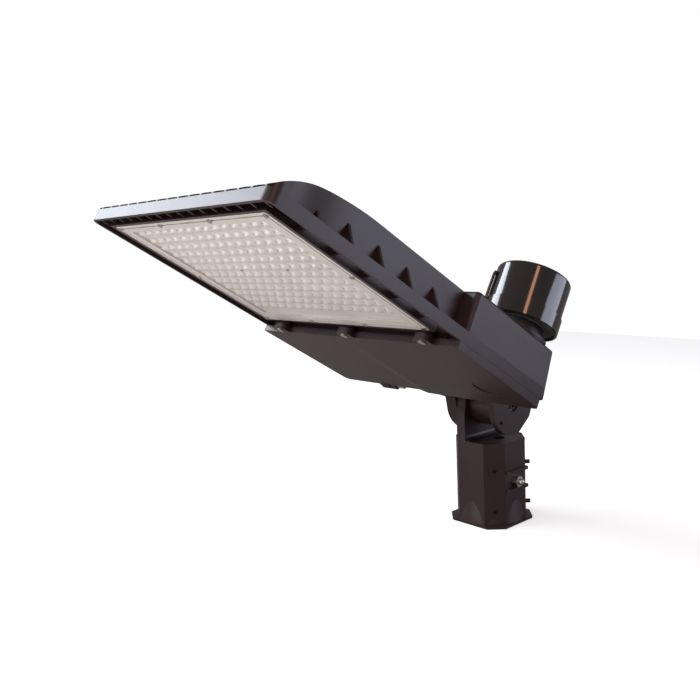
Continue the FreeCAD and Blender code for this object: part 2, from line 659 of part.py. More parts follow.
def rim():
    rear = BOX_FRONT + 2 * RIM_CORNER
    end = BOX_FRONT + BOX_FRONT_CORNER + BITE
    outer = rounded_plan(HALF, 0, rear, RIM_CORNER, 0, NOSE_HEIGHT)
    inner = rounded_plan(HALF - RIM_THICK, RIM_THICK, rear, RIM_CORNER - RIM_THICK, -BITE, NOSE_HEIGHT + BITE)
    return outer.cut(inner).common(box(-HALF, HALF, 0, end, 0, RIM_HEIGHT))


def slab():
    core = box(-WALL_HALF, WALL_HALF, GRILLE_DEPTH, BOX_FRONT + BITE, 0, SLAB_TOP)
    return union([core, hood_plan(0, GRILLE_DEPTH, SHOULDER_LOW, SLAB_TOP)])


def side_walls():
    top = HOOD_HEIGHT + BITE
    ring = hood_plan(0, 0, RIM_HEIGHT - BITE, top)
    ring = ring.common(rounded_plan(HALF, 0, BOX_FRONT + 2 * RIM_CORNER, RIM_CORNER, 0, top + BITE))
    return ring.cut(hood_plan(WALL_THICK, -BITE, 0, top + BITE))


def gusset_root(side, middle):
    """Wedge that stiffens the corner between a bay rib and the wall, widest at the foot."""
    inner = side * (WALL_HALF - BITE)
    outer = side * (WALL_HALF + GUSSET_ROOT)
    front = middle - GUSSET_THICK / 2 - GUSSET_ROOT
    foot = [Vector(x, y, GUSSET_LOW) for x, y in ((inner, middle), (inner, front), (outer, middle))]
    tip = Part.Vertex(Vector(inner, middle, GUSSET_APEX))
    return Part.makeLoft([Part.makePolygon(foot + [foot[0]]), tip], True, True)


def gussets():
    last = BOX_FRONT - GUSSET_LAST_BACK
    pitch = (last - GUSSET_FIRST) / (GUSSET_COUNT - 1)
    rim_line = HALF - RIM_THICK / 2
    inner = WALL_HALF - BITE
    shape = [(inner, GUSSET_LOW), (rim_line, GUSSET_LOW), (rim_line, RIM_HEIGHT),
             (WALL_HALF, GUSSET_APEX), (inner, GUSSET_APEX)]
    ribs = []
    for k in range(GUSSET_COUNT):
        middle = GUSSET_FIRST + k * pitch
        for side in (1, -1):
            points = [(side * x, middle - GUSSET_THICK / 2, z) for x, z in shape]
            ribs.append(prism(points, (0, GUSSET_THICK, 0)))
            ribs.append(gusset_root(side, middle))
    inside = hood_plan(WALL_THICK / 2, GRILLE_DEPTH, SLAB_TOP - BITE, HOOD_HEIGHT + BITE)
    return [rib.cut(inside) for rib in ribs]


# ---- housing: driver box ----
def box_section(y, inset, top_inset, z0, top):
    half = HALF - inset
    corner = HALF - top_inset - inset
    side = [(half, z0), (half, RIM_HEIGHT), (corner, top)]
    points = side + [(-x, z) for x, z in reversed(side)]
    corners = [Vector(x, y, z) for x, z in points]
    return Part.makePolygon(corners + [corners[0]])


def box_loft(inset, z0):
    front = box_section(BOX_FRONT + inset, inset, BOX_TOP_INSET_FRONT, z0, BOX_FRONT_HEIGHT - inset)
    rear = box_section(HEAD_LENGTH - inset, inset, BOX_TOP_INSET_REAR, z0, BOX_REAR_HEIGHT - inset)
    return Part.makeLoft([front, rear], True, True)


def driver_box():
    shell = box_loft(0, 0)
    front = [e for e in shell.Edges if e.BoundBox.ZLength > BITE and e.BoundBox.YMax < BOX_FRONT + BITE]
    shell = shell.makeFillet(BOX_FRONT_CORNER, front)
    crown = [e for e in shell.Edges if e.BoundBox.ZMin > BOX_FRONT_HEIGHT - BITE]
    rear = [e for e in shell.Edges if e.BoundBox.ZLength > HOOD_HEIGHT / 2 and e.BoundBox.YMin > HEAD_LENGTH - BITE]
    shell = shell.makeFillet(BOX_FILLET, crown + rear)
    room = box_loft(BOX_WALL, BOX_LIP_HEIGHT)
    mouth = box(-HALF + BOX_LIP, HALF - BOX_LIP, BOX_FRONT + BOX_LIP, HEAD_LENGTH - BOX_LIP,
                -BITE, BOX_LIP_HEIGHT + BITE)
    return shell.cut([room, mouth])


def beside(x, length):
    """Middles of the fixing tabs at both ends of a block that is this long."""
    return x - TAB_LENGTH / 2, x + length + TAB_LENGTH / 2


def driver_tabs():
    for x in beside(DRIVER_X, DRIVER_LENGTH):
        for part in (1, 3):
            yield x, DRIVER_FRONT + part * DRIVER_WIDTH / 4


def surge_tabs():
    for x in beside(SURGE_X, SURGE_LENGTH):
        yield x, BOX_FRONT + SURGE_AHEAD + SURGE_WIDTH / 2


def block_tabs():
    for x in beside(BLOCK_X, BLOCK_LENGTH):
        yield x, BOX_FRONT + BLOCK_AHEAD + BLOCK_WIDTH / 2


def tray_places():
    yield from driver_tabs()
    yield from surge_tabs()
    yield from block_tabs()


def tray_posts():
    roof = BOX_FRONT_HEIGHT - BITE
    return [upright_rod(POST_RADIUS, x, y, DRIVER_HIGH, roof) for x, y in tray_places()]


def d_disc(z0, z1):
    """Round pad with its rear side cut straight, short of the box's rear edge."""
    disc = upright_rod(PAD_RADIUS, 0, 0, z0, z1)
    return disc.common(box(-PAD_RADIUS, PAD_RADIUS, -PAD_RADIUS, PAD_EDGE, z0, z1))


def hinge_lug(side):
    outer = side * (HINGE_OUTER - COVER_KNUCKLE - FACE_GAP)
    x0 = min(outer, outer - side * HOUSING_KNUCKLE)
    barrel = cross_rod(HINGE_RADIUS, x0, x0 + HOUSING_KNUCKLE, HINGE_Y, -HINGE_DROP)
    side_view = [(HEAD_LENGTH - BITE, BITE), (HEAD_LENGTH + FACE_GAP, BITE / 2),
                 (HINGE_Y - HINGE_RADIUS, -HINGE_DROP), (HINGE_Y + HINGE_RADIUS, -HINGE_DROP),
                 (HINGE_Y + HINGE_RADIUS, 0), (HEAD_LENGTH - BITE, SHOULDER_LOW)]
    return union([barrel, prism([(x0, y, z) for y, z in side_view], (HOUSING_KNUCKLE, 0, 0))])


# ---- housing: openings ----
def screw_pad(x, z0, z1):
    """Oblong pad round a cover screw, longer across than it is deep."""
    radius = COVER_BOSS_RADIUS
    middle = box(x - COVER_BOSS_SPREAD, x + COVER_BOSS_SPREAD, COVER_SCREW_Y - radius, COVER_SCREW_Y + radius, z0, z1)
    ends = [upright_rod(radius, x + side * COVER_BOSS_SPREAD, COVER_SCREW_Y, z0, z1) for side in (-1, 1)]
    return union([middle] + ends)


def cover_groove():
    """Sunk strip between the lens and the cover, with a round seat left for each cover screw."""
    strip = box(-WALL_HALF, WALL_HALF, LENS_REAR + GROOVE_EDGE, COVER_FRONT + GROOVE_EDGE, -BITE, GROOVE_DEPTH)
    return strip.cut([screw_pad(x, -2 * BITE, GROOVE_DEPTH + BITE) for x in COVER_SCREWS])


def lens_openings():
    seat = box(-LENS_HALF - LENS_FIT, LENS_HALF + LENS_FIT, LENS_FRONT - LENS_FIT, LENS_REAR + LENS_FIT,
               -BITE, SEAT_TOP)
    cavity = box(-CAVITY_HALF, CAVITY_HALF, CAVITY_FRONT, CAVITY_REAR, 0, CAVITY_TOP)
    lead_way = BOX_FRONT + BOX_WALL - CAVITY_REAR + 2 * BITE
    return [seat, cavity, rod(LEAD_HOLE, (LEAD_X, CAVITY_REAR - BITE, LEAD_HEIGHT), (0, 1, 0), lead_way)]


def screw_openings():
    lens = LENS_SCREW_RADIUS + HOLE_FIT
    cover = COVER_SCREW_RADIUS + HOLE_FIT
    tray = TRAY_SCREW_RADIUS + HOLE_FIT
    socket = SOCKET_SCREW_RADIUS + HOLE_FIT
    deep = SCREW_HOLE_DEPTH - BITE
    holes = [upright_rod(lens, x, y, 0, LENS_SCREW_LENGTH + BITE) for x, y in lens_screw_places()]
    holes += [upright_rod(cover, x, COVER_SCREW_Y, -BITE, deep) for x in COVER_SCREWS]
    holes += [upright_rod(tray, x, y, DRIVER_HIGH - BITE, DRIVER_HIGH + TRAY_SCREW_LENGTH - BITE)
              for x, y in tray_places()]
    holes += [at_cap(upright_rod(socket, x, y, SOCKET_LOW + BITE, CAP_TOP)) for x, y in socket_screw_places()]
    return holes


def housing():
    hood = union([slab(), side_walls()] + fins()).common(hood_profile())
    pad = at_cap(d_disc(BOX_FRONT_HEIGHT - BOX_WALL, PAD_TOP))
    lugs = [hinge_lug(side) for side in (1, -1)]
    body = union([hood, rim(), driver_box(), pad] + gussets() + tray_posts() + lugs)
    inner = HEAD_LENGTH - 2 * BOX_WALL
    outer = HEAD_LENGTH + BITE
    cuts = lens_openings() + screw_openings() + bracket_bolt_holes(inner, outer)
    cuts += [cover_groove(), arm_channel(inner, outer)]
    cuts.append(at_cap(upright_rod(SOCKET_BODY + HOLE_FIT, 0, 0, SOCKET_LOW, CAP_TOP)))
    cuts.append(cross_rod(HINGE_PIN_RADIUS + RUN_FIT, -HALF, HALF, HINGE_Y, -HINGE_DROP))
    return body.cut(cuts)


# ---- optics ----
def lens_screw_places():
    x = LENS_HALF - BOARD_MARGIN / 2
    front = LENS_FRONT + BOARD_MARGIN / 2
    rear = LENS_REAR - BOARD_MARGIN / 2
    for side in (-1, 1):
        for y in (front, (front + rear) / 2, rear):
            yield side * x, y
        for y in (front, rear):
            yield side * LENS_HALF / 3, y


def lens_screw_holes():
    radius = LENS_SCREW_RADIUS + HOLE_FIT
    return [upright_rod(radius, x, y, LENS_LOW - BITE, CAVITY_TOP) for x, y in lens_screw_places()]


def lens_frame(step, z0, z1):
    """Rounded outline of the lens plate, drawn smaller by the step."""
    return rounded_plan(LENS_HALF - step, LENS_FRONT + step, LENS_REAR - step, RIM_THICK, z0, z1)


def optic_field(grow, z0, z1):
    """Sunk field of the optics, with the tongue that widens its rear edge."""
    field = rounded_plan(FIELD_HALF + grow, FIELD_FRONT - grow, FIELD_REAR + grow, FIELD_CORNER + grow, z0, z1)
    root = FIELD_REAR - FIELD_CORNER
    tip = FIELD_REAR + TONGUE_REACH + grow
    wide = TONGUE_HALF + grow
    narrow = wide - TONGUE_REACH
    plan = [(-wide - FIELD_CORNER, root), (-narrow, tip), (narrow, tip), (wide + FIELD_CORNER, root)]
    return union([field, prism([(x, y, z0) for x, y in plan], (0, 0, z1 - z0))])


def lens_plate():
    floor = LENS_LOW + LENS_GROOVE_DEPTH
    groove = lens_frame(LENS_GROOVE_IN, LENS_LOW - BITE, floor)
    groove = groove.cut(lens_frame(LENS_GROOVE_IN + LENS_GROOVE_WIDTH, LENS_LOW - 2 * BITE, floor + BITE))
    pan = optic_field(FIELD_SKIN, LENS_LOW + BITE, FIELD_LEVEL + FIELD_SKIN)
    body = union([lens_frame(0, LENS_LOW, LENS_TOP), pan])
    return body.cut([groove, optic_field(0, LENS_LOW - BITE, FIELD_LEVEL)] + lens_screw_holes())


def lens_gasket():
    sheet = box(-LENS_HALF, LENS_HALF, LENS_FRONT, LENS_REAR, LENS_TOP, SEAT_TOP)
    inside = box(-CAVITY_HALF, CAVITY_HALF, CAVITY_FRONT, CAVITY_REAR, 0, CAVITY_TOP)
    return sheet.cut([inside] + lens_screw_holes())


def lens_screws():
    low = LENS_LOW - LENS_SCREW_PROUD
    top = LENS_SCREW_LENGTH - BITE
    return Part.makeCompound([headed_screw(x, y, LENS_SCREW_HEAD, low, LENS_SCREW_PROUD, LENS_SCREW_RADIUS, top)
                              for x, y in lens_screw_places()])


def led_board():
    half = CAVITY_HALF - BOARD_EDGE
    return box(-half, half, CAVITY_FRONT + BOARD_EDGE, CAVITY_REAR - BOARD_EDGE, BOARD_LOW, CAVITY_TOP)


def led_chips():
    half = CHIP_SIZE / 2
    chips = []
    for row in range(CHIP_ROWS):
        y = CHIP_FIRST + row * CHIP_PITCH
        for column in range(CHIP_COLUMNS):
            x = (column - (CHIP_COLUMNS - 1) / 2) * CHIP_PITCH_ACROSS
            chips.append(box(x - half, x + half, y - half, y + half, BOARD_LOW - CHIP_HEIGHT, BOARD_LOW))
    return Part.makeCompound(chips)


# ---- driver box contents ----
def tabbed_block(x, length, front, width, thick, tabs):
    low = DRIVER_HIGH - thick
    half = TAB_LENGTH / 2
    reach = half + SEAT_GAP
    body = box(x, x + length, front, front + width, low, DRIVER_HIGH)
    body = body.makeFillet(TAB_THICK, [e for e in body.Edges if e.BoundBox.ZLength > TAB_THICK])
    ears = [box(a - reach, a + reach, b - half, b + half, DRIVER_HIGH - TAB_THICK, DRIVER_HIGH) for a, b in tabs]
    holes = [upright_rod(TRAY_SCREW_RADIUS + HOLE_FIT, a, b, low, DRIVER_HIGH + BITE) for a, b in tabs]
    return union([body] + ears).cut(holes)


def driver():
    return tabbed_block(DRIVER_X, DRIVER_LENGTH, DRIVER_FRONT, DRIVER_WIDTH, DRIVER_THICK, list(driver_tabs()))


def surge_protector():
    front = BOX_FRONT + SURGE_AHEAD
    return tabbed_block(SURGE_X, SURGE_LENGTH, front, SURGE_WIDTH, SURGE_THICK, list(surge_tabs()))


def terminal_block():
    front = BOX_FRONT + BLOCK_AHEAD
    body = tabbed_block(BLOCK_X, BLOCK_LENGTH, front, BLOCK_WIDTH, BLOCK_THICK, list(block_tabs()))
    low = DRIVER_HIGH - BLOCK_THICK
    pitch = BLOCK_LENGTH / BLOCK_WAYS
    middle = front + BLOCK_WIDTH / 2
    ways = [BLOCK_X + (k + 0.5) * pitch for k in range(BLOCK_WAYS)]
    return body.cut([upright_rod(TRAY_SCREW_RADIUS, x, middle, low - BITE, low + TAB_LENGTH) for x in ways])


def tray_screws():
    low = DRIVER_HIGH - TAB_THICK - TRAY_HEAD_THICK
    top = DRIVER_HIGH - TAB_THICK + TRAY_SCREW_LENGTH - 2 * BITE
    return Part.makeCompound([headed_screw(x, y, TRAY_SCREW_HEAD, low, TRAY_HEAD_THICK, TRAY_SCREW_RADIUS, top)
                              for x, y in tray_places()])


def wire_grommet():
    wall = BOX_FRONT + BOX_WALL
    sleeve = rod(LEAD_HOLE - HOLE_FIT, (LEAD_X, BOX_FRONT - BOX_WALL, LEAD_HEIGHT), (0, 1, 0), 2 * BOX_WALL + BITE)
    flange = rod(GROMMET_FLANGE, (LEAD_X, wall, LEAD_HEIGHT), (0, 1, 0), GROMMET_FLANGE_THICK)
    return union([sleeve, flange]).cut(rod(GROMMET_INNER, (LEAD_X, 0, LEAD_HEIGHT), (0, 1, 0), HEAD_LENGTH))


def wire_run(points):
    runs = []
    for a, b in zip(points, points[1:]):
        start = Vector(*a)
        way = Vector(*b) - start
        runs.append(Part.makeCylinder(LEAD_RADIUS, way.Length, start, way))
        runs.append(Part.makeSphere(LEAD_RADIUS, Vector(*b)))
    return union(runs[:-1])


def led_leads():
    low = BOARD_LOW - LEAD_RADIUS
    end = CHIP_LAST + CHIP_SIZE / 2 + BITE
    leads = []
    for side in (-1, 1):
        x = LEAD_X + side * LEAD_SPACING / 2
        y = DRIVER_FRONT + (3 - side) * LEAD_SPACING
        z = DRIVER_LOW + (2 + side) * LEAD_SPACING
        leads.append(wire_run([(DRIVER_RIGHT + SEAT_GAP, y, z), (x, y, z), (x, BOX_FRONT + 3 * BOX_WALL, low),
                               (x, end, low)]))
    return Part.makeCompound(leads)


# ---- driver cover ----
def cover_section(y, deep):
    points = [(-HALF, 0), (-HALF, -COVER_LIP), (COVER_RAMP_LEFT, -COVER_LIP), (COVER_RAMP_RIGHT, -deep),
              (HALF, -deep), (HALF, 0)]
    corners = [Vector(x, y, z) for x, z in points]
    return Part.makePolygon(corners + [corners[0]])


def cover_shell():
    """Shallow tray, stepped down towards the rear on the right-hand side."""
    sections = [cover_section(COVER_FRONT, COVER_LIP), cover_section(HEAD_LENGTH, COVER_DEEP)]
    shell = Part.makeLoft(sections, True, True)
    plan = box(-HALF, HALF, COVER_FRONT, HEAD_LENGTH, -COVER_DEEP - BITE, -SEAT_GAP)
    corners = [e for e in plan.Edges if e.BoundBox.ZLength > BITE]
    plan = plan.makeFillet(COVER_CORNER, [e for e in corners if e.BoundBox.YMin > HEAD_LENGTH - BITE])
    corners = [e for e in plan.Edges if e.BoundBox.ZLength > BITE]
    plan = plan.makeFillet(COVER_FRONT_CORNER, [e for e in corners if e.BoundBox.YMax < COVER_FRONT + BITE])
    return shell.common(plan)


def cover_boss(x):
    reach = COVER_BOSS_RADIUS + COVER_BOSS_SPREAD
    root = box(x - reach, x + reach, COVER_SCREW_Y, COVER_FRONT + BITE, -COVER_LIP, -FACE_GAP)
    return union([screw_pad(x, -COVER_LIP, -FACE_GAP), root])


def cover_knuckle(side):
    x0 = min(side * HINGE_OUTER, side * (HINGE_OUTER - COVER_KNUCKLE))
    x1 = x0 + COVER_KNUCKLE
    barrel = cross_rod(HINGE_RADIUS, x0, x1, HINGE_Y, -HINGE_DROP)
    low = -HINGE_DROP - HINGE_RADIUS + BITE
    return union([barrel, box(x0, x1, HEAD_LENGTH - BITE, HINGE_Y, low, -HINGE_DROP + BITE)])


def knockout():
    """Round recess that marks the thin place for a sensor's cable."""
    fall = (COVER_DEEP - COVER_LIP) * KNOCKOUT_BACK / (HEAD_LENGTH - COVER_FRONT)
    floor = -COVER_DEEP + KNOCKOUT_DEPTH + fall
    y = HEAD_LENGTH - KNOCKOUT_BACK
    return upright_rod(KNOCKOUT_RADIUS, HALF - KNOCKOUT_INSET, y, -COVER_DEEP - BITE, floor)


def driver_cover():
    body = [cover_shell()] + [cover_boss(x) for x in COVER_SCREWS] + [cover_knuckle(side) for side in (1, -1)]
    wall = COVER_WALL
    cuts = [knockout(), cross_rod(HINGE_PIN_RADIUS + RUN_FIT, -HALF, HALF, HINGE_Y, -HINGE_DROP)]
    cuts.append(box(-HALF + wall, HALF - wall, COVER_FRONT + wall, HEAD_LENGTH - wall, COVER_INSIDE, BITE))
    for x in COVER_SCREWS:
        cuts.append(upright_rod(COVER_SCREW_RADIUS + HOLE_FIT, x, COVER_SCREW_Y, -COVER_DEEP, BITE))
        cuts.append(upright_rod(COVER_SCREW_HEAD, x, COVER_SCREW_Y, RETAINER_LOW - SEAT_GAP / 2, BITE))
    return union(body).cut(cuts)


def cover_gasket():
    side = HALF - COVER_WALL - SEAT_GAP
    inside = HALF - BOX_LIP + BITE
    strip = box(-side, side, COVER_FRONT + COVER_WALL + SEAT_GAP, HEAD_LENGTH - COVER_WALL - SEAT_GAP,
                COVER_INSIDE, -FACE_GAP)
    return strip.cut(box(-inside, inside, COVER_FRONT + BOX_LIP + COVER_WALL, HEAD_LENGTH - BOX_LIP + BITE,
                         COVER_INSIDE - BITE, BITE))


def cover_screws():
    low = -COVER_LIP - COVER_SCREW_HEAD_THICK
    return Part.makeCompound([headed_screw(x, COVER_SCREW_Y, COVER_SCREW_HEAD, low, COVER_SCREW_HEAD_THICK,
                                           COVER_SCREW_RADIUS, COVER_SCREW_REACH) for x in COVER_SCREWS])


def screw_retainers():
    top = RETAINER_LOW + RETAINER_THICK
    rings = []
    for x in COVER_SCREWS:
        ring = upright_rod(COVER_SCREW_HEAD - HOLE_FIT, x, COVER_SCREW_Y, RETAINER_LOW, top)
        rings.append(ring.cut(upright_rod(COVER_SCREW_RADIUS + SEAT_GAP / 4, x, COVER_SCREW_Y, -COVER_DEEP, BITE)))
    return Part.makeCompound(rings)


def hinge_pins():
    pins = []
    for side in (1, -1):
        outer = side * (HINGE_OUTER - BITE)
        inner = side * (HINGE_OUTER - COVER_KNUCKLE - FACE_GAP - HOUSING_KNUCKLE - PIN_END)
        pins.append(cross_rod(HINGE_PIN_RADIUS, min(inner, outer), max(inner, outer), HINGE_Y, -HINGE_DROP))
    return Part.makeCompound(pins)


# ---- receptacle ----
def socket_screw_places():
    for angle in SOCKET_SCREW_ANGLES:
        turn = math.radians(angle)
        yield SOCKET_SCREW_CIRCLE * math.cos(turn), SOCKET_SCREW_CIRCLE * math.sin(turn)


def socket_screw_holes():
    radius = SOCKET_SCREW_RADIUS + HOLE_FIT
    return [upright_rod(radius, x, y, 0, CAP_TOP) for x, y in socket_screw_places()]


def blade_sector(spare, angle, span, z0, z1):
    return sector(BLADE_INNER - spare, BLADE_INNER + BLADE_THICK + spare, angle, span, z0, z1)


def receptacle():
    neck = upright_rod(SOCKET_NECK, 0, 0, FLANGE_TOP, SOCKET_TOP)
    neck = neck.common(box(-PAD_RADIUS, PAD_RADIUS, -PAD_RADIUS, PAD_EDGE, FLANGE_TOP, CAP_TOP))
    body = union([neck, d_disc(FLANGE_LOW, FLANGE_TOP), upright_rod(SOCKET_BODY, 0, 0, SOCKET_LOW, SOCKET_TOP)])
    cuts = socket_screw_holes()
    span = BLADE_SPAN + 2 * TWIST_RANGE + SLOT_SPAN_FIT
    for angle in BLADE_ANGLES:
        cuts.append(blade_sector(SLOT_FIT, angle, span, SLOT_LOW, SOCKET_TOP + BITE))
        cuts.append(blade_sector(HOLE_FIT, angle, BLADE_SPAN / 2 + BITE, SOCKET_LOW - BITE, SOCKET_TOP))
    return at_cap(body.cut(cuts))


def receptacle_gasket():
    body_hole = upright_rod(SOCKET_BODY + HOLE_FIT, 0, 0, 0, CAP_TOP)
    return at_cap(d_disc(PAD_TOP, FLANGE_LOW).cut([body_hole] + socket_screw_holes()))


def receptacle_contacts():
    low = SOCKET_LOW - 3 * BITE
    return at_cap(Part.makeCompound([blade_sector(0, angle, BLADE_SPAN / 2, low, SLOT_LOW - BITE)
                                     for angle in BLADE_ANGLES]))


def receptacle_screws():
    screws = []
    for x, y in socket_screw_places():
        head = upright_rod(SOCKET_SCREW_HEAD, x, y, FLANGE_TOP, FLANGE_TOP + SOCKET_SCREW_HEAD / 2)
        shank = upright_rod(SOCKET_SCREW_RADIUS, x, y, BOX_FRONT_HEIGHT - BITE, FLANGE_TOP + BITE)
        screws.append(union([head, shank]))
    return at_cap(Part.makeCompound(screws))


# ---- shorting cap ----
def cap_profile(grow, low):
    skirt = CAP_SKIRT_RADIUS - grow
    side = CAP_RADIUS - grow
    top = CAP_TOP - grow
    bend = CAP_ROUND - grow
    turn = math.pi / 4
    points = [(0, low), (skirt, low), (skirt, CAP_SEAM), (side, CAP_SEAM), (side, top - bend)]
    edges = [Part.makeLine(Vector(a, 0, b), Vector(c, 0, d)) for (a, b), (c, d) in zip(points, points[1:])]
    middle = Vector(side - bend + bend * math.cos(turn), 0, top - bend + bend * math.sin(turn))
    edges.append(Part.Arc(Vector(side, 0, top - bend), middle, Vector(side - bend, 0, top)).toShape())
    edges.append(Part.makeLine(Vector(side - bend, 0, top), Vector(0, 0, top)))
    edges.append(Part.makeLine(Vector(0, 0, top), Vector(0, 0, low)))
    return Part.Face(Part.Wire(edges)).revolve(Vector(0, 0, 0), Vector(0, 0, 1), 360)


def cap_shell():
    return at_cap(cap_profile(0, CAP_LOW).cut(cap_profile(CAP_WALL, CAP_LOW - BITE)))


def cap_base():
    disc = upright_rod(CAP_SKIRT_RADIUS - CAP_WALL - HOLE_FIT, 0, 0, BASE_LOW, BASE_LOW + BASE_THICK)
    return at_cap(disc.cut([blade_sector(HOLE_FIT, angle, BLADE_SPAN + BITE, BASE_LOW - BITE, CAP_SEAM)
                            for angle in BLADE_ANGLES]))


def cap_blades():
    low = SOCKET_TOP - BLADE_DEPTH
    return at_cap(Part.makeCompound([blade_sector(0, angle, BLADE_SPAN, low, LINK_LOW) for angle in BLADE_ANGLES]))


def cap_link():
    """Strip that joins the first two blades."""
    first, second = BLADE_ANGLES[:2]
    return at_cap(blade_sector(BITE, (first + second) / 2, second - first + BLADE_SPAN, LINK_LOW, LINK_LOW + BITE))


def cap_gasket():
    low = SOCKET_TOP + SEAT_GAP
    ring = upright_rod(SOCKET_NECK, 0, 0, low, low + FOAM_THICK)
    return at_cap(ring.cut(upright_rod(FOAM_INNER, 0, 0, 0, CAP_TOP)))


def cap_clip():
    half = CLIP_WIDTH / 2
    outer = CLIP_INNER + CLIP_THICK
    strap = box(CLIP_INNER, outer, -half, half, CLIP_LOW, CLIP_TOP)
    foot = box(CAP_RADIUS, outer, -half, half, CLIP_LOW, CLIP_LOW + CLIP_WIDTH)
    hook = box(CAP_RADIUS - BITE, outer, -half, half, CLIP_TOP - CLIP_THICK, CLIP_TOP)
    skirt = upright_rod(CAP_SKIRT_RADIUS, 0, 0, 0, CAP_SEAM + BITE)
    clip = union([strap, foot, hook]).cut([skirt, upright_rod(CAP_RADIUS, 0, 0, 0, 2 * CAP_TOP)])
    clip.rotate(Vector(0, 0, 0), Vector(0, 0, 1), CLIP_ANGLE)
    return at_cap(clip)


FITTER_NODES = (slip_fitter, tenon_lock_bolt, tenon_lock_nut, set_screws, pivot_bolt, pivot_nut, pivot_washers)
HEAD_NODES = (
    housing, mount_bracket, bracket_gasket, bracket_bolts, lens_plate, lens_gasket, lens_screws, led_board,
    led_chips, driver, surge_protector, terminal_block, tray_screws, wire_grommet, led_leads, hinge_pins,
    receptacle, receptacle_gasket, receptacle_contacts, receptacle_screws, driver_cover, cover_gasket,
    cover_screws, screw_retainers, cap_shell, cap_base, cap_blades, cap_link, cap_gasket, cap_clip)

os.makedirs("parts", exist_ok=True)
for make in FITTER_NODES:
    make().exportStep("parts/" + make.__name__ + ".step")
for make in HEAD_NODES:
    tilted(make()).exportStep("parts/" + make.__name__ + ".step")
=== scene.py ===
import json
import math

import bmesh
import bpy
from mathutils import Matrix, Vector


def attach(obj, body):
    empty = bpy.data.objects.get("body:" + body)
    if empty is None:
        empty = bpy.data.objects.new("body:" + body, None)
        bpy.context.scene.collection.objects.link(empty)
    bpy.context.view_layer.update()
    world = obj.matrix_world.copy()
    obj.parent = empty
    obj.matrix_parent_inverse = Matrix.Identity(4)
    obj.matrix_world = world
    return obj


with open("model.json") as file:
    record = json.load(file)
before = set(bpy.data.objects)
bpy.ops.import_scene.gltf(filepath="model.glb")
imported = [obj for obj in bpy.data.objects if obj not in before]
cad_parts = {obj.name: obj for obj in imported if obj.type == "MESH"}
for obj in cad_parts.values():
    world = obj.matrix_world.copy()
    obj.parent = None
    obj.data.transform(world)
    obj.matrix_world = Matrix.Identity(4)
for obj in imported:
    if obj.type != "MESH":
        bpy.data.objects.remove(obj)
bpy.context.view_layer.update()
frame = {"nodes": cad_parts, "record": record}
nodes = frame["nodes"]
scene = bpy.context.scene
scene.view_settings.view_transform = "Standard"

# ---- the head's own frame: x across, y from nose to rear, z up from the rim, in millimetres ----
TILT = math.radians(31.4)
PIVOT_Y, PIVOT_Z, PIVOT_HEIGHT = 492.7, 21.5, 148.3
HEAD = (Matrix.Translation((0, 0, PIVOT_HEIGHT / 1000)) @ Matrix.Rotation(-TILT, 4, "X")
        @ Matrix.Translation((0, -PIVOT_Y / 1000, -PIVOT_Z / 1000)) @ Matrix.Scale(0.001, 4))


# ---- camera ----
CAMERA_AZIMUTH, CAMERA_ELEVATION, CAMERA_ROLL = math.radians(48.6), math.radians(7.7), math.radians(-2.6)
CAMERA_PLACE = (0.6176, -0.7723, 0.3529)
CAMERA_LENS, CAMERA_SENSOR, CAMERA_NEAR = 40.8, 36.0, 0.02


def set_camera():
    level, fall = math.cos(CAMERA_ELEVATION), -math.sin(CAMERA_ELEVATION)
    forward = Vector((-math.sin(CAMERA_AZIMUTH) * level, math.cos(CAMERA_AZIMUTH) * level, fall))
    right = forward.cross(Vector((0, 0, 1))).normalized()
    up = right.cross(forward)
    rolled_right = math.cos(CAMERA_ROLL) * right + math.sin(CAMERA_ROLL) * up
    rolled_up = math.cos(CAMERA_ROLL) * up - math.sin(CAMERA_ROLL) * right
    data = bpy.data.cameras.new("camera")
    data.lens = CAMERA_LENS
    data.sensor_width = CAMERA_SENSOR
    camera = bpy.data.objects.new("camera", data)
    scene.collection.objects.link(camera)
    turn = Matrix((rolled_right, rolled_up, -forward)).transposed().to_4x4()
    camera.matrix_world = Matrix.Translation(CAMERA_PLACE) @ turn
    data.clip_start = CAMERA_NEAR
    scene.camera = camera


